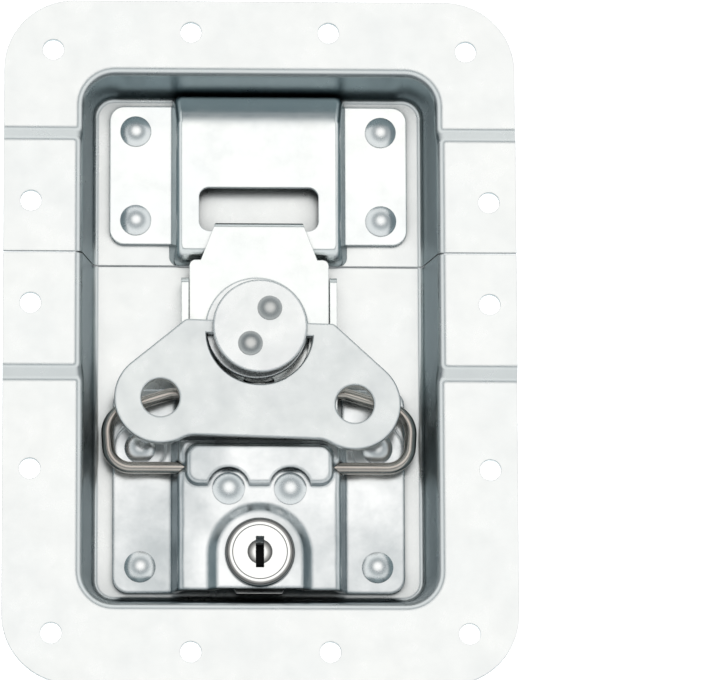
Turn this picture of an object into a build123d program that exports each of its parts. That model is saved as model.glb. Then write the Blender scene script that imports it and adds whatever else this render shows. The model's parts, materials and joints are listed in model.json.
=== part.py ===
from build123d import *
import math
import os

# Recessed butterfly case latch, drawn closed. Millimetres.
# The latch lies on its back: +Z is the outward normal of the case face, +Y points to the lid.
# The origin is on the back plane of the flange, at the middle of the plate.

# Pressed dish and flange
plate_width = 127.0
plate_length = 172.0
plate_corner_radius = 17.5
dish_sheet = 1.5
dish_depth = 15.0
split_y = 21.6
split_gap = 0.4
band_half_length = 28.6
band_raise = 2.0
band_step_run = 3.2
step_radius = 2.4
floor_width = 81.8
floor_length = 127.4
floor_low_y = -63.0
floor_corner_radius = 5.0
wall_draft_deg = 11.0
rim_radius = 2.4
floor_edge_radius = 1.6

# Screw holes of the flange, from the edges of the plate
flange_hole_radius = 2.6
corner_hole_side_edge = 12.2
corner_hole_end_edge = 12.6
end_hole_x = 17.1
end_hole_edge = 8.0
side_hole_edge = 6.8
band_hole_offset_y = 12.9
lower_side_hole_y = -32.5

# Rivets
rivet_head_radius = 3.85
rivet_head_height = 1.5
rivet_shank_radius = 1.8
rivet_tail_radius = 2.8
rivet_tail_height = 1.0
rivet_edge_share = 0.22

# Keeper plate on the lid half
keeper_sheet = 1.5
keeper_half_width = 37.1
keeper_flange_setback = 5.3
keeper_flange_end_gap = 2.2
keeper_corner_radius = 3.7
keeper_box_half_width = 22.2
keeper_box_side_run = 2.1
keeper_height = 5.9
keeper_lip_reach = 0.3
keeper_lip_radius = 5.0
keeper_end_radius = 2.4
keeper_fold_radius = 2.4
keeper_ramp_length = 7.3
keeper_ramp_drop = 1.6
keeper_slot_width = 29.7
keeper_slot_length = 11.1
keeper_slot_low_y = 29.5
keeper_slot_radius = 2.5
keeper_rivet_x = 30.6
keeper_rivet_low_edge = 6.1
keeper_rivet_high_edge = 6.5

# Carriage channel that holds the draw mechanism
cam_y = 3.5
carriage_sheet = 1.5
carriage_wall = 1.8
carriage_high_y = 17.2
carriage_low_y = -22.0
carriage_wall_height = 8.6
carriage_wall_corner = 1.6
tongue_half_width = 11.0
tongue_low_y = -42.0

# Hook plate
hook_thickness = 1.5
hook_lift = 0.3
hook_side_gap = 0.2
hook_half_width = 17.3
hook_shoulder_y = 21.7
hook_neck_half_width = 14.5
hook_tip_half_width = 10.8
hook_tip_drop = 3.2
hook_bend_radius = 1.9
hook_tail_strip = 4.0
hook_corner_radius = 1.5
hook_to_keeper_gap = 0.3

# Cam: base disc with lock notches, eccentric, retaining ring and top disc
running_gap = 0.3
fit_gap = 0.05
eccentricity = 2.5
eccentric_radius = 9.5
cosine_allowance = 0.7
cam_base_radius = 13.0
cam_base_thickness = 1.5
notch_depth = 5.2
notch_side_gap = 0.8
ring_radius = 12.8
ring_thickness = 1.2
ring_offset = 0.9
top_disc_radius = 11.7
top_disc_thickness = 1.5
disc_rivet_circle = 5.06
disc_rivet_angle = 63.5
disc_rivet_head_radius = 3.05
disc_rivet_head_height = 0.8
disc_rivet_shank_radius = 1.2
stud_radius = 2.2
stud_head_radius = 3.2
stud_head_thickness = 0.9

# Butterfly wing
wing_turn_deg = -1.75
wing_thickness = 2.0
wing_bar_half_width = 1.7
wing_shoulder_x = 19.3
wing_shoulder_radius = 1.6
wing_lobe_x = 24.0
wing_lobe_y = -18.35
wing_lobe_radius = 11.4
wing_bottom_y = -27.4
wing_waist_radius = 6.0
wing_cut_radius = 13.1
wing_cut_y = -1.0
wing_hole_radius = 4.7
wing_edge_radius = 0.45

# Spring wire with an ear on each side
wire_radius = 1.5
wire_hole_gap = 0.2
wire_anchor_y = -11.8
wire_exit_x = 21.6
wire_shoulder = (37.9, -16.9)
wire_heel = (37.0, -30.5)
wire_exit_radius = 2.0
wire_shoulder_radius = 6.6
wire_heel_radius = 5.6

# Lock cover on the base half
cover_sheet = 1.5
cover_half_width = 36.2
cover_end_gap = 1.8
cover_flange_high_y = -9.9
cover_corner_radius = 3.9
cover_box_half_width = 22.2
cover_box_side_run = 2.3
cover_box_high_y = -23.8
cover_height = 7.0
cover_fold_radius = 2.0
hump_raise = 1.6
hump_half_width = 18.3
hump_low_y = -35.2
hump_high_y = -24.6
hump_corner_radius = 3.2
hump_edge_share = 0.85
arch_raise = 2.5
arch_radius = 12.9
arch_slope = 2.4
spot_face_radius = 5.2
guide_rivet_x = 7.6
guide_rivet_y = -35.9
guide_rivet_head_radius = 4.0
guide_rivet_head_height = 1.3
cover_rivet_x = 29.4
cover_rivet_low_edge = 6.5
cover_rivet_high_y = -24.7
embossment_radius = 6.4
embossment_depth = 0.5

# Cylinder lock and bolt
lock_y = -52.4
lock_ring_radius = 8.65
lock_ring_height = 1.5
lock_barrel_radius = 7.2
lock_barrel_length = 5.0
lock_nut_radius = 9.6
lock_nut_thickness = 1.8
plug_head_radius = 6.7
plug_head_depth = 1.0
plug_radius = 4.6
key_recess_radius = 3.05
key_recess_depth = 0.6
keyway_width = 2.0
keyway_length = 7.8
keyway_depth = 4.5
crank_radius = 5.6
crank_thickness = 0.8
bolt_travel = 4.0
bolt_thickness = 1.3
bolt_tip_half_width = 3.0
bolt_half_width = 5.0
bolt_tail_half_width = 7.0
bolt_tip_length = 12.0
bolt_shoulder_y = -45.0
bolt_tail_length = 6.0
crank_pin_radius = 1.2
pin_slot_gap = 0.25

# Places along and across the plate that follow from the sizes above
floor_center_y = floor_low_y + floor_length / 2
floor_high_y = floor_low_y + floor_length
corner_hole_x = plate_width / 2 - corner_hole_side_edge
corner_hole_y = plate_length / 2 - corner_hole_end_edge
end_hole_y = plate_length / 2 - end_hole_edge
side_hole_x = plate_width / 2 - side_hole_edge
keeper_box_high_y = floor_high_y + keeper_lip_reach
keeper_box_top_half_width = keeper_box_half_width - keeper_box_side_run
keeper_flange_low_y = split_y + keeper_flange_setback
keeper_flange_high_y = floor_high_y - keeper_flange_end_gap
keeper_ramp_y = keeper_box_high_y - keeper_ramp_length
keeper_rivet_low_y = keeper_flange_low_y + keeper_rivet_low_edge
keeper_rivet_high_y = keeper_flange_high_y - keeper_rivet_high_edge
cover_low_y = floor_low_y + cover_end_gap
cover_box_top_half_width = cover_box_half_width - cover_box_side_run
cover_rivet_low_y = cover_low_y + cover_rivet_low_edge

# Levels of the stack, above the front face of the dish floor
floor_z = dish_sheet - dish_depth
bolt_z = floor_z + carriage_sheet + running_gap
cam_base_z = floor_z + carriage_sheet + running_gap
eccentric_z = cam_base_z + cam_base_thickness
hook_z = floor_z + keeper_height + hook_lift
ring_z = hook_z + hook_thickness + running_gap
ring_top_z = ring_z + ring_thickness
bar_reach = math.hypot(wing_bar_half_width, wing_thickness / 2)
wing_axis_z = ring_top_z + running_gap + bar_reach
top_disc_z = wing_axis_z + bar_reach + running_gap
cover_front_z = floor_z + cover_height
hump_front_z = cover_front_z + hump_raise
arch_front_z = cover_front_z + arch_raise
wire_z = hump_front_z - cover_sheet - running_gap - wire_radius
carriage_half_width = hook_half_width + hook_side_gap + carriage_wall
crank_z = arch_front_z - lock_barrel_length - crank_thickness
pin_orbit = bolt_travel / math.sqrt(2)


def prism(sketch, low_z, high_z):
    return Pos(0, 0, low_z) * extrude(sketch, high_z - low_z)


def across(points, half_width, round_radius=0.0):
    """Solid with a side profile given in Y and Z, running across X."""
    profile = make_face(Polyline(*points, close=True))
    if round_radius:
        profile = fillet(inner_corners(profile), round_radius)
    return extrude(Plane.YZ * profile, half_width, both=True)


def inner_corners(profile):
    """Corners of a profile other than those at its two far ends."""
    far = max(v.X for v in profile.vertices()) - 0.01
    return [v for v in profile.vertices() if abs(v.X) < far]


def rod(radius, low_z, high_z, x=0.0, y=0.0):
    return Pos(x, y, (low_z + high_z) / 2) * Cylinder(radius, high_z - low_z)


def cross_rod(radius, length, y, z):
    return Pos(0, y, z) * Rot(0, 90, 0) * Cylinder(radius, length)


def spanned_rectangle(low_x, high_x, low_y, high_y):
    return Pos((low_x + high_x) / 2, (low_y + high_y) / 2) * Rectangle(high_x - low_x, high_y - low_y)


def dome(radius, height, base_z):
    """Low spherical rivet head on a short straight edge."""
    crown = height * (1 - rivet_edge_share)
    ball_radius = (radius ** 2 + crown ** 2) / (2 * crown)
    ball = Pos(0, 0, base_z + height - ball_radius) * Sphere(ball_radius)
    return ball & rod(radius, base_z, base_z + height + 1)


def rivet(x, y, seat_z, head_radius, head_height, shank_radius, end_z, tail_radius, tail_height):
    head = dome(head_radius, head_height, seat_z)
    shank = rod(shank_radius, end_z, seat_z)
    solid = head + shank
    if tail_height > 0:
        solid += rod(tail_radius, end_z - tail_height, end_z)
    return Pos(x, y, 0) * solid


def plate_outline():
    return RectangleRounded(plate_width, plate_length, plate_corner_radius)


def flange_holes():
    places = [(x, y) for x in (-corner_hole_x, corner_hole_x) for y in (-corner_hole_y, corner_hole_y)]
    places += [(x, y) for x in (-end_hole_x, end_hole_x) for y in (-end_hole_y, end_hole_y)]
    for offset in (-band_hole_offset_y, band_hole_offset_y):
        places += [(-side_hole_x, split_y + offset), (side_hole_x, split_y + offset)]
    places += [(-side_hole_x, lower_side_hole_y), (side_hole_x, lower_side_hole_y)]
    tall = dish_sheet + band_raise + 1
    return [rod(flange_hole_radius, -1, tall, x, y) for x, y in places]


def tub(growth, base_z, top_z, corner):
    """Tapered block of the recess, larger all round by growth."""
    outline = RectangleRounded(floor_width + 2 * growth, floor_length + 2 * growth, corner + growth)
    block = extrude(outline, top_z - base_z, taper=-wall_draft_deg)
    return Pos(0, floor_center_y, base_z) * block


def dish():
    """Whole pressed dish before it is parted into its two halves."""
    low = split_y - band_half_length
    high = split_y + band_half_length
    far = plate_length
    back = [(-far, 0), (low - band_step_run, 0), (low, band_raise)]
    back += [(high, band_raise), (high + band_step_run, 0), (far, 0)]
    front = [(y, z + dish_sheet) for y, z in reversed(back)]
    flange_top = band_raise + dish_sheet
    flange = across(back + front, plate_width, step_radius) & prism(plate_outline(), -1, flange_top + 1)
    below_flange = across(back + [(far, -plate_length), (-far, -plate_length)], plate_width, step_radius)
    below_flange = Pos(0, 0, dish_sheet / 2) * below_flange
    walls = tub(dish_sheet, floor_z - dish_sheet, flange_top + 1, floor_corner_radius) & below_flange
    shell = flange + walls
    shell -= tub(0, floor_z, flange_top + 1, floor_corner_radius)
    return round_rim(shell)


def round_rim(shell):
    """Roll the mouth of the recess over into the flange and ease the floor's edge."""
    mouth = [e for e in shell.edges() if on_mouth(e)]
    shell = fillet(mouth, rim_radius)
    bottom = [e for e in shell.edges() if abs(e.center().Z - floor_z) < 0.01]
    return fillet(bottom, floor_edge_radius)


def on_mouth(edge):
    """An edge where the recess walls meet the front of the flange."""
    middle = edge @ 0.5
    ends = [edge @ 0, edge @ 1]
    spread = (middle.Z - floor_z) * math.tan(math.radians(wall_draft_deg)) + dish_sheet / 2
    within_x = abs(middle.X) < floor_width / 2 + spread
    within_y = abs(middle.Y - floor_center_y) < floor_length / 2 + spread
    return within_x and within_y and min(p.Z for p in ends) > dish_sheet - 0.01


def dish_half(whole, is_lid):
    far = plate_length
    edge = split_y + split_gap / 2 if is_lid else split_y - split_gap / 2
    low, high = (edge, far) if is_lid else (-far, edge)
    keep = prism(spanned_rectangle(-far, far, low, high), -far, far)
    return whole & keep


def hat(box_half, top_half, low_y, high_y, height, sheet, low_round, high_round, fold, ramp=None):
    """Raised middle of a hat-section pressing, open underneath.

    Its ends can be rounded down, and a ramp (start, drop) lets the high end sink before its edge."""

    def block(inset):
        half = box_half - inset
        top = top_half - inset
        level = floor_z + height - inset
        section = make_face(Polyline((-half, floor_z), (half, floor_z), (top, level),
                                     (-top, level), close=True))
        body = extrude(Plane.XZ * section, plate_length, both=True)
        end_low = low_y + (inset if low_round else -1)
        end_high = high_y - (inset if high_round else -1)
        if inset == 0:
            end_low, end_high = low_y, high_y
        side = prism(spanned_rectangle(-plate_width, plate_width, end_low, end_high), floor_z, level + 1)
        body = body & side
        if ramp:
            start, drop = ramp
            sink = [(start, level), (high_y + 1, level), (high_y + 1, level - drop), (high_y, level - drop)]
            body -= across(sink, plate_width)
        rounds = []
        for end_y, radius in ((end_low, low_round), (end_high, high_round)):
            if radius:
                rounds.append((end_y, radius - inset))
        for end_y, radius in rounds:
            end_edges = [e for e in body.edges().filter_by(Axis.X) if abs(e.center().Y - end_y) < 0.2]
            body = fillet(max(end_edges, key=lambda e: e.center().Z), radius)
        sides = [e for e in body.edges() if is_fold(e, level, top)]
        return fillet(sides, max(fold - inset, 0.4))

    return block(0) - block(sheet)


def is_fold(edge, level, top_half):
    """A long edge between the front and a side wall of a hat-section block."""
    ends = [edge @ 0, edge @ 1]
    runs_along = abs(ends[0].Y - ends[1].Y) > 2 * abs(ends[0].Z - ends[1].Z)
    return runs_along and edge.center().Z > level - 1.5 and abs(edge.center().X) > top_half - 0.5


def side_flanges(half_width, box_half, low_y, high_y, corner, sheet):
    """Flat feet either side of a hat-section pressing."""
    outline = Pos(0, (low_y + high_y) / 2) * RectangleRounded(2 * half_width, high_y - low_y, corner)
    plate = prism(outline, floor_z, floor_z + sheet)
    inner = spanned_rectangle(sheet - box_half, box_half - sheet, low_y - 1, high_y + 1)
    return plate - prism(inner, floor_z - 1, floor_z + sheet + 1)


def keeper_plate():
    solid = hat(keeper_box_half_width, keeper_box_top_half_width, split_y, keeper_box_high_y,
                keeper_height, keeper_sheet, keeper_lip_radius, keeper_end_radius,
                keeper_fold_radius, (keeper_ramp_y, keeper_ramp_drop))
    solid += side_flanges(keeper_half_width, keeper_box_half_width, keeper_flange_low_y,
                          keeper_flange_high_y, keeper_corner_radius, keeper_sheet)
    under_lip = spanned_rectangle(-keeper_box_half_width, keeper_box_half_width,
                                  keeper_flange_high_y, keeper_box_high_y + 1)
    lip_low = floor_z + keeper_height - keeper_ramp_drop - keeper_end_radius
    solid -= prism(under_lip, floor_z, lip_low)
    slot = RectangleRounded(keeper_slot_width, keeper_slot_length, keeper_slot_radius)
    slot = Pos(0, keeper_slot_low_y + keeper_slot_length / 2) * slot
    solid -= prism(slot, floor_z + keeper_sheet + 0.5, floor_z + keeper_height + 1)
    for x, y in keeper_rivet_places():
        solid -= rod(rivet_shank_radius, floor_z - 1, floor_z + keeper_sheet + 1, x, y)
    return solid


def keeper_rivet_places():
    rows = (keeper_rivet_high_y, keeper_rivet_low_y)
    return [(x, y) for y in rows for x in (-keeper_rivet_x, keeper_rivet_x)]


def cover_rivet_places():
    rows = (cover_rivet_high_y, cover_rivet_low_y)
    return [(x, y) for y in rows for x in (-cover_rivet_x, cover_rivet_x)]


def lock_cover():
    solid = hat(cover_box_half_width, cover_box_top_half_width, cover_low_y, cover_box_high_y,
                cover_height, cover_sheet, 0, 0, cover_fold_radius)
    solid += side_flanges(cover_half_width, cover_box_half_width, cover_low_y,
                          cover_flange_high_y, cover_corner_radius, cover_sheet)
    solid = solid + hump(0) - hump(cover_sheet)
    solid = solid + arch(0) - arch(cover_sheet)
    for x in (-guide_rivet_x, guide_rivet_x):
        solid -= rod(spot_face_radius, cover_front_z, hump_front_z + 1, x, guide_rivet_y)
        solid += rod(spot_face_radius, cover_front_z - cover_sheet, cover_front_z, x, guide_rivet_y)
        solid -= rod(rivet_shank_radius, floor_z, hump_front_z, x, guide_rivet_y)
    solid -= cross_rod(wire_radius + wire_hole_gap, plate_width, wire_heel[1], wire_z)
    solid -= rod(lock_barrel_radius, floor_z, arch_front_z + 1, 0, lock_y)
    for x, y in cover_rivet_places():
        solid -= rod(rivet_shank_radius, floor_z - 1, floor_z + cover_sheet + 1, x, y)
    for x in (-cover_rivet_x, cover_rivet_x):
        seat = floor_z + cover_sheet
        solid -= rod(embossment_radius, seat - embossment_depth, seat + 1, x, cover_rivet_high_y)
    return solid


def hump(inset):
    """Raised bridge across the cover that makes room for the spring wire."""
    outline = spanned_rectangle(inset - hump_half_width, hump_half_width - inset,
                                hump_low_y + inset, hump_high_y - inset)
    outline = fillet(outline.vertices(), hump_corner_radius - inset)
    low = cover_front_z - cover_sheet - (0.01 if inset else 0)
    block = prism(outline, low, hump_front_z - inset)
    if inset == 0:
        top = [e for e in block.edges() if abs(e.center().Z - hump_front_z) < 0.01]
        block = fillet(top, hump_raise * hump_edge_share)
    return block


def arch(inset):
    """Raised horseshoe round the lock, open towards the lower end of the cover."""
    low = cover_front_z - cover_sheet - (0.01 if inset else 0)
    high = arch_front_z - inset
    reach = 2 * arch_radius
    radius = arch_radius - inset
    disc = Pos(0, lock_y) * Circle(radius)
    leg = spanned_rectangle(-radius, radius, lock_y - reach, lock_y)
    draft = math.degrees(math.atan2(arch_slope, arch_raise))
    skirt = Pos(0, 0, cover_front_z - inset) * extrude(disc + leg, arch_raise, taper=draft)
    foot = prism(disc + leg, low, cover_front_z - inset)
    cut = spanned_rectangle(-reach, reach, cover_low_y - (1 if inset else 0), lock_y + reach)
    return (skirt + foot) & prism(cut, low - 1, high + 1)


def carriage():
    """Channel that carries the cam, with a tongue under the lock cover."""
    floor = spanned_rectangle(-carriage_half_width, carriage_half_width, carriage_low_y, carriage_high_y)
    tongue = spanned_rectangle(-tongue_half_width, tongue_half_width, tongue_low_y, carriage_low_y + 1)
    solid = prism(floor + tongue, floor_z, floor_z + carriage_sheet)
    inner = carriage_half_width - carriage_wall
    for low_x, high_x in ((-carriage_half_width, -inner), (inner, carriage_half_width)):
        wall = prism(spanned_rectangle(low_x, high_x, carriage_low_y, carriage_high_y),
                     floor_z, floor_z + carriage_wall_height)
        top = floor_z + carriage_wall_height
        ends = [e for e in wall.edges().filter_by(Axis.X) if abs(e.center().Z - top) < 0.01]
        solid += fillet(ends, carriage_wall_corner)
    solid -= cross_rod(wire_radius + fit_gap, plate_width, wire_anchor_y, wire_z)
    solid -= rod(stud_radius, floor_z - 1, floor_z + carriage_sheet + 1, 0, cam_y)
    for x in (-guide_rivet_x, guide_rivet_x):
        solid -= rod(rivet_shank_radius, floor_z - 1, floor_z + carriage_sheet + 1, x, guide_rivet_y)
    return solid


def hook_plate():
    """Draw plate: flat blank with an oval eye for the eccentric and a bent hook at its tip."""
    eccentric_y = cam_y - eccentricity
    eye_x = eccentric_radius + eccentricity + running_gap
    eye_y = eccentric_radius + cosine_allowance + running_gap
    low_y = eccentric_y - eye_y - hook_tail_strip
    leg_y = keeper_slot_low_y + hook_to_keeper_gap
    tip_y = leg_y + hook_thickness
    body = spanned_rectangle(-hook_half_width, hook_half_width, low_y, hook_shoulder_y)
    body = fillet(body.vertices(), hook_corner_radius)
    neck = make_face(Polyline((-hook_neck_half_width, hook_shoulder_y),
                              (hook_neck_half_width, hook_shoulder_y),
                              (hook_tip_half_width, tip_y), (-hook_tip_half_width, tip_y), close=True))
    blank = body + neck
    top_z = hook_z + hook_thickness
    solid = prism(blank, hook_z, top_z)
    solid += prism(spanned_rectangle(-hook_tip_half_width, hook_tip_half_width, leg_y, tip_y),
                   hook_z - hook_tip_drop, top_z)
    bend = [e for e in solid.edges().filter_by(Axis.X) if abs(e.center().Y - tip_y) < 0.01]
    bend = [e for e in bend if abs(e.center().Z - top_z) < 0.01]
    solid = fillet(bend, hook_bend_radius - 0.5)
    eye = Pos(0, eccentric_y) * SlotOverall(2 * eye_x, 2 * eye_y)
    return solid - prism(eye, hook_z - 1, top_z + 1)


def cam_place():
    """The cam, its discs and the wing stand a little turned on the pivot."""
    return Pos(0, cam_y, 0) * Rot(0, 0, wing_turn_deg)


def disc_rivet_places():
    angle = math.radians(disc_rivet_angle)
    x = disc_rivet_circle * math.cos(angle)
    y = disc_rivet_circle * math.sin(angle)
    return [(x, y), (-x, -y)]


def cam_base_disc():
    """Stamped disc under the eccentric, with a notch for the lock bolt at each end of the turn."""
    solid = rod(cam_base_radius, cam_base_z, eccentric_z)
    notch_half = bolt_tip_half_width + notch_side_gap
    for side in (-1, 1):
        outer = side * (cam_base_radius + 1)
        inner = side * (cam_base_radius - notch_depth)
        notch = spanned_rectangle(-notch_half, notch_half, min(outer, inner), max(outer, inner))
        solid -= Rot(0, 0, -wing_turn_deg) * prism(notch, cam_base_z - 1, eccentric_z + 1)
    solid -= rod(stud_radius + fit_gap, cam_base_z - 1, eccentric_z + 1)
    for x, y in disc_rivet_places():
        solid -= rod(disc_rivet_shank_radius, cam_base_z - 1, eccentric_z + 1, x, y)
    return cam_place() * solid


def cam_eccentric():
    """Turned eccentric that fills the eye of the hook plate and drives it."""
    top = ring_z
    solid = rod(eccentric_radius, eccentric_z, top, 0, -eccentricity)
    solid -= rod(stud_radius + fit_gap, eccentric_z - 1, top + 1)
    solid -= rod(stud_head_radius + running_gap, top - stud_head_thickness - running_gap, top + 1)
    for x, y in disc_rivet_places():
        solid -= rod(disc_rivet_shank_radius, eccentric_z - 1, top + 1, x, y)
    return cam_place() * solid


def retaining_ring():
    angle = math.radians(135)
    center = (ring_offset * math.cos(angle), ring_offset * math.sin(angle))
    solid = rod(ring_radius, ring_z, ring_top_z, center[0], center[1])
    rim = [e for e in solid.edges() if abs(e.center().Z - ring_top_z) < 0.01]
    solid = fillet(rim, ring_thickness / 3)
    for x, y in disc_rivet_places():
        solid -= rod(disc_rivet_shank_radius, ring_z - 1, ring_top_z + 1, x, y)
    return cam_place() * solid


def top_disc():
    high = top_disc_z + top_disc_thickness
    solid = rod(top_disc_radius, top_disc_z, high)
    rim = [e for e in solid.edges() if abs(e.center().Z - high) < 0.01]
    solid = fillet(rim, top_disc_thickness / 3)
    for x, y in disc_rivet_places():
        solid -= rod(disc_rivet_shank_radius, top_disc_z - 1, high + 1, x, y)
    return cam_place() * solid


def disc_rivet(place):
    x, y = place
    seat = top_disc_z + top_disc_thickness
    return cam_place() * rivet(x, y, seat, disc_rivet_head_radius, disc_rivet_head_height,
                               disc_rivet_shank_radius, cam_base_z, 0, 0)


def pivot_stud():
    head_low = ring_z - stud_head_thickness - fit_gap
    solid = rod(stud_radius, floor_z - dish_sheet, head_low + stud_head_thickness)
    solid += rod(stud_head_radius, head_low, head_low + stud_head_thickness)
    solid += rod(rivet_tail_radius, floor_z - dish_sheet - rivet_tail_height, floor_z - dish_sheet)
    return Pos(0, cam_y, 0) * solid


def wing():
    """Butterfly handle: one flat stamping whose narrow bar turns between the two discs."""
    shoulder_y = wing_bar_half_width - wing_shoulder_radius
    shoulder_x = wing_shoulder_x - wing_shoulder_radius
    rounds = [Pos(side * shoulder_x, shoulder_y) * Circle(wing_shoulder_radius) for side in (-1, 1)]
    lobes = [Pos(side * wing_lobe_x, wing_lobe_y) * Circle(wing_lobe_radius) for side in (-1, 1)]
    rims = [edge for circle in rounds + lobes for edge in circle.edges()]
    hull = make_hull(rims)
    reach = wing_lobe_x + wing_lobe_radius
    trimmed = hull & spanned_rectangle(-reach, reach, wing_bottom_y, wing_bar_half_width)
    outline = trimmed + lobes
    waists = [v for v in outline.vertices() if abs(v.Y - wing_bottom_y) < 0.01]
    outline = fillet(waists, wing_waist_radius)
    below_bar = spanned_rectangle(-reach, reach, wing_bottom_y, -wing_bar_half_width)
    cut = Pos(0, wing_cut_y) * Circle(wing_cut_radius) & below_bar
    outline -= cut
    for lobe_x in (-wing_lobe_x, wing_lobe_x):
        outline -= Pos(lobe_x, wing_lobe_y) * Circle(wing_hole_radius)
    low = wing_axis_z - wing_thickness / 2
    high = wing_axis_z + wing_thickness / 2
    solid = prism(outline, low, high)
    rim = [e for e in solid.edges() if abs(e.center().Z - high) < 0.01]
    return cam_place() * fillet(rim, wing_edge_radius)


def spring_wire():
    """One wire that crosses under the hump and bends into an ear on each side."""
    anchor = (carriage_half_width - carriage_wall, wire_anchor_y)
    right = [wire_heel, wire_shoulder, (wire_exit_x, wire_anchor_y), anchor]
    left = [(-x, y) for x, y in reversed(right)]
    points = [(x, y, wire_z) for x, y in left + right]
    bends = [wire_exit_radius, wire_shoulder_radius, wire_heel_radius]
    path = FilletPolyline(*points, radius=bends + bends[::-1])
    start = Plane(origin=path @ 0, z_dir=path % 0)
    return sweep(start * Circle(wire_radius), path=path)


def lock_body():
    """Cylinder lock housing with its outer ring."""
    barrel_low = arch_front_z - lock_barrel_length
    ring_high = arch_front_z + lock_ring_height
    ring = rod(lock_ring_radius, arch_front_z, ring_high)
    rim = [e for e in ring.edges() if abs(e.center().Z - ring_high) < 0.01]
    solid = fillet(rim, lock_ring_height / 2) + rod(lock_barrel_radius, barrel_low, arch_front_z)
    solid -= rod(plug_radius + fit_gap, barrel_low - 1, ring_high + 1)
    solid -= rod(plug_head_radius + fit_gap, ring_high - plug_head_depth - fit_gap, ring_high + 1)
    return Pos(0, lock_y, 0) * solid


def lock_nut():
    high = cover_front_z - cover_sheet
    low = high - lock_nut_thickness
    blank = prism(RegularPolygon(lock_nut_radius, 6, major_radius=False), low, high)
    return Pos(0, lock_y, 0) * (blank - rod(lock_barrel_radius, low - 1, high + 1))


def lock_plug():
    """Plug with its keyway; the key goes in with the blade upright."""
    face = arch_front_z + lock_ring_height
    low = arch_front_z - lock_barrel_length
    solid = rod(plug_head_radius, face - plug_head_depth, face) + rod(plug_radius, low, face)
    solid -= rod(key_recess_radius, face - key_recess_depth, face + 1)
    keyway = prism(Rectangle(keyway_width, keyway_length), face - keyway_depth, face + 1)
    return Pos(0, lock_y, 0) * (solid - keyway)


def lock_crank():
    """Disc on the inner end of the plug, with the pin that drives the bolt."""
    pin_low = bolt_z + running_gap / 2
    solid = rod(crank_radius, crank_z, crank_z + crank_thickness)
    pin = rod(crank_pin_radius, pin_low, crank_z, pin_orbit * math.cos(math.pi / 4), -bolt_travel / 2)
    return Pos(0, lock_y, 0) * (solid + pin)


def lock_bolt():
    """Flat bolt that slides up into a notch of the cam."""
    tip_y = cam_y - cam_base_radius - running_gap
    low_y = lock_y - bolt_tail_length
    blank = spanned_rectangle(-bolt_tip_half_width, bolt_tip_half_width, tip_y - bolt_tip_length - 1, tip_y)
    blank += spanned_rectangle(-bolt_half_width, bolt_half_width, low_y, tip_y - bolt_tip_length)
    blank += spanned_rectangle(-bolt_tail_half_width, bolt_tail_half_width, low_y, bolt_shoulder_y)
    pin_near = bolt_travel / 2 - crank_pin_radius - running_gap
    pin_far = pin_orbit + crank_pin_radius + running_gap
    slot_half = crank_pin_radius + pin_slot_gap
    pin_y = lock_y - bolt_travel / 2
    blank -= spanned_rectangle(pin_near, pin_far, pin_y - slot_half, pin_y + slot_half)
    return prism(blank, bolt_z, bolt_z + bolt_thickness)


def seated_rivet(place, seat_z):
    return rivet(place[0], place[1], seat_z, rivet_head_radius, rivet_head_height, rivet_shank_radius,
                 floor_z - dish_sheet, rivet_tail_radius, rivet_tail_height)


def guide_rivet(x):
    """Long rivet that ties the cover and the carriage to the dish and guides the bolt."""
    return rivet(x, guide_rivet_y, cover_front_z, guide_rivet_head_radius, guide_rivet_head_height,
                 rivet_shank_radius, floor_z - dish_sheet, rivet_tail_radius, rivet_tail_height)


def floor_holes(solid):
    for x, y in keeper_rivet_places() + cover_rivet_places():
        solid -= rod(rivet_shank_radius, floor_z - dish_sheet - 1, floor_z + 1, x, y)
    for x in (-guide_rivet_x, guide_rivet_x):
        solid -= rod(rivet_shank_radius, floor_z - dish_sheet - 1, floor_z + 1, x, guide_rivet_y)
    return solid - rod(stud_radius, floor_z - dish_sheet - 1, floor_z + 1, 0, cam_y)


def build_pieces():
    whole = floor_holes(dish())
    for hole in flange_holes():
        whole -= hole
    pieces = {
        "lid_dish": dish_half(whole, True),
        "base_dish": dish_half(whole, False),
        "keeper_plate": keeper_plate(),
        "lock_cover": lock_cover(),
        "carriage": carriage(),
        "hook_plate": hook_plate(),
        "cam_base_disc": cam_base_disc(),
        "cam_eccentric": cam_eccentric(),
        "retaining_ring": retaining_ring(),
        "top_disc": top_disc(),
        "pivot_stud": pivot_stud(),
        "butterfly_wing": wing(),
        "spring_wire": spring_wire(),
        "lock_body": lock_body(),
        "lock_nut": lock_nut(),
        "lock_plug": lock_plug(),
        "lock_crank": lock_crank(),
        "lock_bolt": lock_bolt(),
    }
    for number, place in enumerate(keeper_rivet_places(), 1):
        pieces[f"keeper_rivet_{number}"] = seated_rivet(place, floor_z + keeper_sheet)
    for number, place in enumerate(cover_rivet_places(), 1):
        seat = floor_z + cover_sheet - (embossment_depth if place[1] == cover_rivet_high_y else 0)
        pieces[f"cover_rivet_{number}"] = seated_rivet(place, seat)
    for number, x in enumerate((-guide_rivet_x, guide_rivet_x), 1):
        pieces[f"guide_rivet_{number}"] = guide_rivet(x)
    for number, place in enumerate(disc_rivet_places(), 1):
        pieces[f"disc_rivet_{number}"] = disc_rivet(place)
    return pieces


os.makedirs("parts", exist_ok=True)
for name, solid in build_pieces().items():
    export_step(solid, f"parts/{name}.step")
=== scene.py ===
"""Butterfly case latch: finishes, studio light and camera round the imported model.

Lengths are in millimetres, and MM turns them into Blender's metres. The scales of noises are per metre.
X runs across the plate, Y along it towards the lid half, and Z out of its front."""
import json
import math

import bmesh
import bpy
from mathutils import Matrix, Vector


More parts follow.
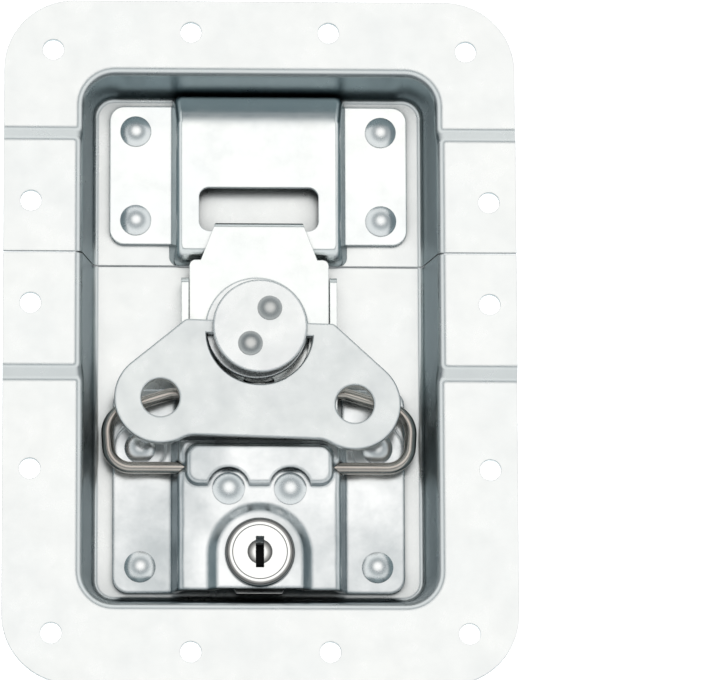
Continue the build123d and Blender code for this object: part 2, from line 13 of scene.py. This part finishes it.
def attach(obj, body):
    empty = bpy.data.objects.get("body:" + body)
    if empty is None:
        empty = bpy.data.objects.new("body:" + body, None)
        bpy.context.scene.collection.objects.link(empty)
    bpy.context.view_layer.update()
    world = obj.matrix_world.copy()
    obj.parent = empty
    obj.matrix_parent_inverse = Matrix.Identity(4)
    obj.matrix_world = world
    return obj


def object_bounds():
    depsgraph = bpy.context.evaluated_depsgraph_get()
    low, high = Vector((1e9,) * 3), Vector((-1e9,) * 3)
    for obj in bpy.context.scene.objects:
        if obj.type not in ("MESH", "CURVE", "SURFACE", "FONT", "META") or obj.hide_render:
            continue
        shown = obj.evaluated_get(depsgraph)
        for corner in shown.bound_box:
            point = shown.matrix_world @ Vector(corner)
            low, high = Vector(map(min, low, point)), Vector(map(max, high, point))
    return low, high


MM = 0.001
WHITE = (1, 1, 1)
# Black of the box painted as the shade inside the keyway.
SHADE_BLACK = (0.012, 0.012, 0.012)

# Slope of the lens from the plate's normal: it stands a little below and to the left.
TILT_DOWN = math.radians(11.6)
TILT_LEFT = math.radians(2.6)

# Parts of a factor's run over which a tint or a gloss changes.
NOISE_SPAN = (0.35, 0.65)
PAINTED_SHADE_SPAN = (0.08, 0.62)
STEEP_SPAN = (0.25, 0.8)
FRONT_SPAN = (0.93, 0.965)

# Tint of the shade painted where pieces meet.
PAINTED_SHADE_DARK = (0.16, 0.18, 0.19)
SHADE_SAMPLES = 6
DENT_SCALE = 95.0
GRAIN_SCALE = 2600.0
GRAIN_DEPTH = 0.02

# The keeper's front curves down near its far end, between two places measured from that end. The bow
# sets in over a rise above the feet, which lie one sheet thick on the dish.
KEEPER_BOW_REACH = (-11.7, 0.8)
KEEPER_BOW_SLOPE = 0.46
KEEPER_SHEET = 1.5
KEEPER_RISE = (0.5, 1.5)

# Greys painted round the lock's axis, as (radius, grey): painted shade on the ring's bevel and in the key
# recess, and a dark line at the plug's joint.
LOCK_RING_SHADE = (
    (0.0, 0.8), (1.5, 0.95), (2.1, 0.4), (2.75, 0.12), (3.02, 0.15), (3.1, 1.0), (6.58, 1.0), (6.66, 0.2),
    (6.8, 0.2), (6.88, 1.0), (7.35, 0.95), (7.55, 0.3), (8.1, 0.14), (8.65, 0.4), (9.0, 0.4),
)

# The black box painted as the shade inside the keyway, from the plug's axis and its face.
KEYWAY_X = (-0.96, 0.96)
KEYWAY_Y = (-3.3, 1.9)
KEYWAY_Z = (-4.3, -0.65)

FLOOR_SIZE = 4000.0
FLOOR_PAINT = (0.85, 0.85, 0.85)
FLOOR_GLOW = 1.05
# Black of the strip painted as the shade seen through the seam between the halves.
SEAM_SHADE_PAINT = (0.03, 0.03, 0.03)
STRIP_LENGTH = 80.0
STRIP_WIDTH = 9.0
STRIP_LIFT = 0.05

# Light of the room, as (cosine of the angle to the softbox, colour).
SKY = (
    (0.0, (0.07, 0.08, 0.09)),
    (0.15, (0.20, 0.23, 0.25)),
    (0.42, (0.80, 0.84, 0.85)),
    (0.72, (0.82, 0.86, 0.87)),
    (0.83, (0.36, 0.41, 0.43)),
    (0.905, (0.16, 0.19, 0.21)),
    (0.945, (0.62, 0.66, 0.67)),
    (0.972, (1.18, 1.18, 1.17)),
)

# Places of a Mix node's sockets, which share their names between kinds of data.
VECTOR_A, VECTOR_B, VECTOR_RESULT = 4, 5, 1
COLOR_A, COLOR_B, COLOR_RESULT = 6, 7, 2

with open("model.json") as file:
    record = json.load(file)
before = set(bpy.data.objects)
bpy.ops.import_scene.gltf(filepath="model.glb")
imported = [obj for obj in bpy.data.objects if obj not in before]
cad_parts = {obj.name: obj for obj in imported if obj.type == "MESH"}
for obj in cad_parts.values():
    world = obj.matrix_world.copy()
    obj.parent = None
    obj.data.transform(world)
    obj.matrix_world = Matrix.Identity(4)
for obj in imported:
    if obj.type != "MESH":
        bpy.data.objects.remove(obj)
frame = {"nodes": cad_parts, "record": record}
nodes = frame["nodes"]
size_at_load = [list(corner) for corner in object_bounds()]


def box_of(name):
    """Low and high corner of a node at rest."""
    corners = [Vector(corner) / MM for corner in nodes[name].bound_box]
    return [[pick(corner[axis] for corner in corners) for axis in range(3)] for pick in (min, max)]


plug_low, plug_high = box_of("lock_plug")
keeper_low, keeper_high = box_of("keeper_plate")
lock_axis_y = (plug_low[1] + plug_high[1]) / 2
lock_face_z = plug_high[2]
seam_y = (box_of("base_dish")[1][1] + box_of("lid_dish")[0][1]) / 2
floor_level = size_at_load[0][2] / MM


# ---- Node helpers ----

def shader_tree(name):
    """New material with its Principled shader, ready for more nodes."""
    material = bpy.data.materials.new(name)
    material.use_nodes = True
    tree = material.node_tree
    return material, tree, tree.nodes["Principled BSDF"]


def feed(tree, node, inputs):
    """Give a node's inputs, by name or place, a link from an output or a plain value."""
    for socket, value in inputs.items():
        if isinstance(value, bpy.types.NodeSocket):
            tree.links.new(value, node.inputs[socket])
        else:
            node.inputs[socket].default_value = value


def add(tree, kind, inputs, **settings):
    """New shader node with its settings and inputs."""
    node = tree.nodes.new(kind)
    for key, value in settings.items():
        setattr(node, key, value)
    feed(tree, node, inputs)
    return node


def computed(tree, operation, *terms):
    """Result of a Math node on outputs and plain numbers."""
    return add(tree, "ShaderNodeMath", dict(enumerate(terms)), operation=operation).outputs["Value"]


def place_on_model(tree):
    """The model's own coordinates, in metres."""
    return add(tree, "ShaderNodeTexCoord", {}).outputs["Object"]


def axes_of(tree, vector):
    """X, Y and Z of a vector, by name."""
    return add(tree, "ShaderNodeSeparateXYZ", {"Vector": vector}).outputs


def noise(tree, scale, stretch=(1, 1, 1), detail=4.0, roughness=0.55):
    """Noise on the model, stretched along an axis for brushing."""
    mapping = add(tree, "ShaderNodeMapping", {"Vector": place_on_model(tree), "Scale": stretch})
    inputs = {"Vector": mapping.outputs["Vector"], "Scale": scale, "Detail": detail, "Roughness": roughness}
    return add(tree, "ShaderNodeTexNoise", inputs).outputs["Fac"]


def number_between(tree, factor, low, high, span=NOISE_SPAN, curve="LINEAR"):
    """Number that runs from low to high as a factor crosses a span."""
    inputs = {"Value": factor, "From Min": span[0], "From Max": span[1], "To Min": low, "To Max": high}
    return add(tree, "ShaderNodeMapRange", inputs, interpolation_type=curve).outputs["Result"]


def graded(tree, factor, stops):
    """Colour that runs through stops of (factor, colour)."""
    ramp = add(tree, "ShaderNodeValToRGB", {"Fac": factor})
    elements = ramp.color_ramp.elements
    while len(elements) < len(stops):
        elements.new(0.5)
    for element, (position, color) in zip(elements, stops):
        element.position = position
        element.color = (*color, 1)
    return ramp.outputs["Color"]


def tint_between(tree, factor, first, second, span=NOISE_SPAN):
    """Colour that runs from one tint to another as a factor crosses a span."""
    return graded(tree, factor, ((span[0], first), (span[1], second)))


def multiplied(tree, first, second):
    """Product of two colours."""
    inputs = {"Factor": 1.0, COLOR_A: first, COLOR_B: second}
    return add(tree, "ShaderNodeMix", inputs, data_type="RGBA", blend_type="MULTIPLY").outputs[COLOR_RESULT]


def bumped(tree, normal, height, depth, strength=1.0):
    """Normal of a surface that a height raises and dents."""
    inputs = {"Normal": normal, "Height": height, "Distance": depth * MM, "Strength": strength}
    return add(tree, "ShaderNodeBump", inputs).outputs["Normal"]


# ---- Finishes ----

def plated_metal(name, tint, drift, rough, rough_drift, grain, cloud=45.0, grain_stretch=(1, 1, 1),
                 edge=0.25, corner=4.0, wave=0.0, ring_shade=None, steep_shade=None, bow=None):
    """Zinc or nickel plating: clouded tint, uneven gloss, fine grain, softened edges and painted shade.

    The tint drifts from one colour to another in clouds, and the roughness in smears. Edge is the radius
    of the edges, corner the reach of the shade painted where pieces meet, and wave the depth of soft dents.
    Ring shade paints shade in rings round the lock's axis, steep shade paints shade on upright walls, and a
    bow curves a flat front."""
    material, tree, shader = shader_tree(name)
    color = tint_between(tree, noise(tree, cloud, detail=5.0), tint, drift)
    # Painted shade on the lock's bevel and key recess, and the dark line of the plug's joint.
    if ring_shade:
        color = multiplied(tree, color, painted_ring_shade(tree, ring_shade))
    # Painted shade: upright walls darker.
    if steep_shade:
        color = multiplied(tree, color, painted_wall_shade(tree, steep_shade))
    # Painted shade where pieces meet, from ambient occlusion.
    color = multiplied(tree, color, painted_corner_shade(tree, corner))
    smears = noise(tree, cloud * 3, detail=6.0, roughness=0.65)
    normal = add(tree, "ShaderNodeBevel", {"Radius": edge * MM}, samples=SHADE_SAMPLES).outputs["Normal"]
    if bow:
        normal = bowed_normal(tree, normal, *bow)
    if wave:
        normal = bumped(tree, normal, noise(tree, DENT_SCALE, detail=1.0, roughness=0.4), wave)
    fine = noise(tree, GRAIN_SCALE, grain_stretch, detail=3.0, roughness=0.7)
    feed(tree, shader, {
        "Metallic": 1.0,
        "Base Color": color,
        "Roughness": number_between(tree, smears, rough, rough + rough_drift),
        "Normal": bumped(tree, normal, fine, GRAIN_DEPTH, grain),
    })
    return material


def painted_corner_shade(tree, reach):
    """Painted shade: colour darkened where pieces meet, as under the wing's edge and inside the keeper's
    slot.
    """
    near = add(tree, "ShaderNodeAmbientOcclusion", {"Distance": reach * MM}, samples=SHADE_SAMPLES)
    return tint_between(tree, near.outputs["AO"], PAINTED_SHADE_DARK, WHITE, PAINTED_SHADE_SPAN)


def painted_wall_shade(tree, tint):
    """Painted shade on upright walls, which clears to none on flat faces."""
    facing = axes_of(tree, add(tree, "ShaderNodeNewGeometry", {}).outputs["Normal"])
    return tint_between(tree, computed(tree, "ABSOLUTE", facing["Z"]), tint, WHITE, STEEP_SPAN)


def painted_ring_shade(tree, ring_shade):
    """Painted shade in greys that change with the distance from the lock's axis."""
    to_axis = {0: place_on_model(tree), 1: (1, 1, 0), 2: (0, -lock_axis_y * MM, 0)}
    flat = add(tree, "ShaderNodeVectorMath", to_axis, operation="MULTIPLY_ADD").outputs["Vector"]
    distance = add(tree, "ShaderNodeVectorMath", {0: flat}, operation="LENGTH").outputs["Value"]
    reach = ring_shade[-1][0]
    stops = [(radius / reach, (grey, grey, grey)) for radius, grey in ring_shade]
    return graded(tree, computed(tree, "DIVIDE", distance, reach * MM), stops)


def bowed_normal(tree, normal, start, end, slope, feet_top):
    """Normal of a raised front that curves down from start to end along Y. Its feet stay flat."""
    place = axes_of(tree, place_on_model(tree))
    lean = number_between(tree, place["Y"], 0, slope, (start * MM, end * MM), "SMOOTHSTEP")
    curved = add(tree, "ShaderNodeCombineXYZ", {"Y": lean, "Z": 1.0}).outputs["Vector"]
    flat = number_between(tree, axes_of(tree, normal)["Z"], 0, 1, FRONT_SPAN)
    rise = [(feet_top + height) * MM for height in KEEPER_RISE]
    front = computed(tree, "MULTIPLY", flat, number_between(tree, place["Z"], 0, 1, rise))
    inputs = {"Factor": front, VECTOR_A: normal, VECTOR_B: curved}
    bent = add(tree, "ShaderNodeMix", inputs, data_type="VECTOR").outputs[VECTOR_RESULT]
    return add(tree, "ShaderNodeVectorMath", {0: bent}, operation="NORMALIZE").outputs["Vector"]


def finish_for_slots():
    """One finish for each material slot of the record."""
    return {
        "zinc_pressing": plated_metal(
            "pressed_zinc", tint=(0.93, 0.935, 0.92), drift=(0.91, 0.92, 0.91), rough=0.27,
            rough_drift=0.04, grain=0.25, wave=0.05, steep_shade=(0.27, 0.34, 0.37), corner=11.0),
        "bright_zinc": plated_metal(
            "bright_zinc", tint=(0.86, 0.88, 0.88), drift=(0.92, 0.93, 0.91), rough=0.14,
            rough_drift=0.09, grain=0.15),
        "mechanism_zinc": plated_metal(
            "drawn_zinc", tint=(0.88, 0.90, 0.89), drift=(0.93, 0.94, 0.92), rough=0.18,
            rough_drift=0.08, grain=0.2),
        "wing_zinc": plated_metal(
            "stamped_zinc", tint=(0.81, 0.83, 0.82), drift=(0.75, 0.77, 0.77), rough=0.26,
            rough_drift=0.08, grain=0.3),
        "disc_zinc": plated_metal(
            "disc_zinc", tint=(0.88, 0.89, 0.88), drift=(0.83, 0.84, 0.84), rough=0.24,
            rough_drift=0.08, grain=0.3),
        "polished_rivet": plated_metal(
            "domed_rivet", tint=(0.95, 0.96, 0.96), drift=(0.98, 0.98, 0.97), rough=0.25,
            rough_drift=0.05, grain=0.05, corner=1.2),
        "brushed_rivet": plated_metal(
            "brushed_rivet", tint=(0.54, 0.54, 0.53), drift=(0.68, 0.68, 0.67), rough=0.21,
            rough_drift=0.06, grain=0.5, grain_stretch=(0.05, 1, 1), corner=1.2),
        "spring_wire": plated_metal(
            "drawn_wire", tint=(0.48, 0.43, 0.39), drift=(0.60, 0.56, 0.51), rough=0.18,
            rough_drift=0.06, grain=0.4),
        "lock_nickel": plated_metal(
            "nickel", tint=(0.93, 0.93, 0.91), drift=(0.96, 0.96, 0.94), rough=0.14,
            rough_drift=0.05, grain=0.05, edge=0.15, ring_shade=LOCK_RING_SHADE),
    }


def finish_for_nodes():
    """Finishes of the two bright zinc pressings that are softer in form than their solids."""
    bow_start, bow_end = [keeper_high[1] + reach for reach in KEEPER_BOW_REACH]
    return {
        "keeper_plate": plated_metal(
            "keeper_zinc", tint=(0.86, 0.88, 0.88), drift=(0.92, 0.93, 0.91), rough=0.16,
            rough_drift=0.09, grain=0.15, edge=0.5, wave=0.12, steep_shade=(0.42, 0.47, 0.49),
            bow=(bow_start, bow_end, KEEPER_BOW_SLOPE, keeper_low[2] + KEEPER_SHEET)),
        # The cover's clouds drift far darker than its plating: random tone together with painted reflection
        # in mottled dark patches.
        "lock_cover": plated_metal(
            "cover_zinc", tint=(0.90, 0.91, 0.91), drift=(0.55, 0.58, 0.59), rough=0.19,
            rough_drift=0.08, grain=0.15, cloud=42.0, edge=1.1, wave=0.7, steep_shade=(0.42, 0.47, 0.49)),
    }


def dress_nodes(slot_finishes, own_finishes):
    """Give each node its own finish, or else the finish of its slot."""
    for entry in frame["record"]["subparts"]:
        mesh = nodes[entry["node"]].data
        mesh.materials.clear()
        mesh.materials.append(own_finishes.get(entry["node"]) or slot_finishes[entry["material_slot"]])


# ---- Painted shade in the keyway ----

def paint_keyway_shade():
    """Black box, open at the front, painted as the shade inside the keyway, that turns with the plug."""
    low = (KEYWAY_X[0], lock_axis_y + KEYWAY_Y[0], lock_face_z + KEYWAY_Z[0])
    high = (KEYWAY_X[1], lock_axis_y + KEYWAY_Y[1], lock_face_z + KEYWAY_Z[1])
    form = bmesh.new()
    bmesh.ops.create_cube(form, size=1.0)
    bmesh.ops.delete(form, geom=[face for face in form.faces if face.normal.z > 0.5], context="FACES")
    for vertex in form.verts:
        vertex.co = [(high[axis] if vertex.co[axis] > 0 else low[axis]) * MM for axis in range(3)]
    mesh = bpy.data.meshes.new("keyway_painted_shade")
    form.to_mesh(mesh)
    form.free()
    shade_box = bpy.data.objects.new("keyway_painted_shade", mesh)
    bpy.context.scene.collection.objects.link(shade_box)
    material, tree, shader = shader_tree("keyway_shade_black")
    feed(tree, shader, {"Base Color": (*SHADE_BLACK, 1), "Roughness": 0.7})
    mesh.materials.append(material)
    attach(shade_box, "lock_plug")


# ---- Studio ----

def build_floor():
    """Pale floor at the latch's lowest point: white to the lens and in mirrors, with the latch's shadow."""
    bpy.ops.mesh.primitive_plane_add(size=FLOOR_SIZE * MM, location=(0, 0, floor_level * MM))
    ground = bpy.context.object
    ground.name = "studio_floor"
    material, tree, shader = shader_tree("studio_floor_paint")
    feed(tree, shader, {"Base Color": (*FLOOR_PAINT, 1), "Roughness": 0.9})
    strength = seen_directly(tree, FLOOR_GLOW)
    glow = add(tree, "ShaderNodeEmission", {"Color": (*WHITE, 1), "Strength": strength})
    both = add(tree, "ShaderNodeAddShader", {0: shader.outputs["BSDF"], 1: glow.outputs["Emission"]})
    clear_from_below(tree, both.outputs["Shader"])
    ground.data.materials.append(material)


def build_seam_painted_shade():
    """Dark strip on the floor, painted shade that the lens sees only through the seam between the halves.
    """
    center_y = seam_y - floor_level * math.tan(TILT_DOWN)
    place = Vector((0, center_y, floor_level + STRIP_LIFT)) * MM
    bpy.ops.mesh.primitive_plane_add(size=1, location=place)
    strip = bpy.context.object
    strip.name = "seam_painted_shade"
    strip.scale = (STRIP_LENGTH * MM, STRIP_WIDTH * MM, 1)
    material, tree, shader = shader_tree("seam_painted_shade_paint")
    feed(tree, shader, {"Base Color": (*SEAM_SHADE_PAINT, 1)})
    clear_from_below(tree, shader.outputs["BSDF"])
    strip.data.materials.append(material)
    strip.visible_glossy = False
    strip.visible_diffuse = False
    strip.visible_shadow = False


def clear_from_below(tree, surface):
    """Show a surface from its front alone, so that the latch's back can be looked at."""
    side = add(tree, "ShaderNodeNewGeometry", {}).outputs["Backfacing"]
    clear = add(tree, "ShaderNodeBsdfTransparent", {}).outputs["BSDF"]
    choice = add(tree, "ShaderNodeMixShader", {"Fac": side, 1: surface, 2: clear})
    feed(tree, tree.nodes["Material Output"], {"Surface": choice.outputs["Shader"]})


def seen_directly(tree, strength):
    """A strength for camera, glossy and transmission rays alone."""
    path = add(tree, "ShaderNodeLightPath", {}).outputs
    seen = computed(tree, "ADD", path["Is Camera Ray"], path["Is Glossy Ray"])
    seen = computed(tree, "ADD", seen, path["Is Transmission Ray"])
    return computed(tree, "MULTIPLY", seen, strength)


def build_world():
    """Softbox over the latch, where its flat faces mirror it to the lens, in a dim slate room.

    The same light stands below, for views of the back."""
    world = bpy.data.worlds.new("studio_world")
    bpy.context.scene.world = world
    world.use_nodes = True
    tree = world.node_tree
    softbox = Vector((math.tan(TILT_LEFT), math.tan(TILT_DOWN), 1.0)).normalized()
    sky_direction = add(tree, "ShaderNodeTexCoord", {}).outputs["Generated"]
    nearness = add(tree, "ShaderNodeVectorMath", {0: sky_direction, 1: softbox}, operation="DOT_PRODUCT")
    both_ways = computed(tree, "ABSOLUTE", nearness.outputs["Value"])
    feed(tree, tree.nodes["Background"], {"Color": graded(tree, both_ways, SKY), "Strength": 1.0})


def build_camera():
    """Long lens a little below and left of the plate's normal, that leaves room at the right."""
    view_width = 175.1
    distance = 1750.0
    roll = math.radians(0.25)
    sensor_width = 36.0
    target = Vector((23.3, 0.0, 1.5))
    toward = Vector((-math.tan(TILT_LEFT), -math.tan(TILT_DOWN), 1.0)).normalized()
    data = bpy.data.cameras.new("camera")
    data.sensor_width = sensor_width
    data.lens = sensor_width * distance / view_width
    data.clip_end = 10 * distance * MM
    camera = bpy.data.objects.new("camera", data)
    place = (target + toward * distance) * MM
    forward = -toward
    right = forward.cross(Vector((0, 1, 0))).normalized()
    turn = Matrix.Rotation(roll, 3, forward)
    camera.matrix_world = look_matrix(place, turn @ right, turn @ right.cross(forward), forward)
    bpy.context.scene.collection.objects.link(camera)
    bpy.context.scene.camera = camera


def look_matrix(place, right, up, forward):
    """Matrix of a camera at a place, from the directions of its picture."""
    rows = [(right[axis], up[axis], -forward[axis], place[axis]) for axis in range(3)]
    return Matrix((*rows, (0, 0, 0, 1)))


bpy.context.scene.view_settings.view_transform = "Standard"
dress_nodes(finish_for_slots(), finish_for_nodes())
paint_keyway_shade()
build_floor()
build_seam_painted_shade()
build_world()
build_camera()
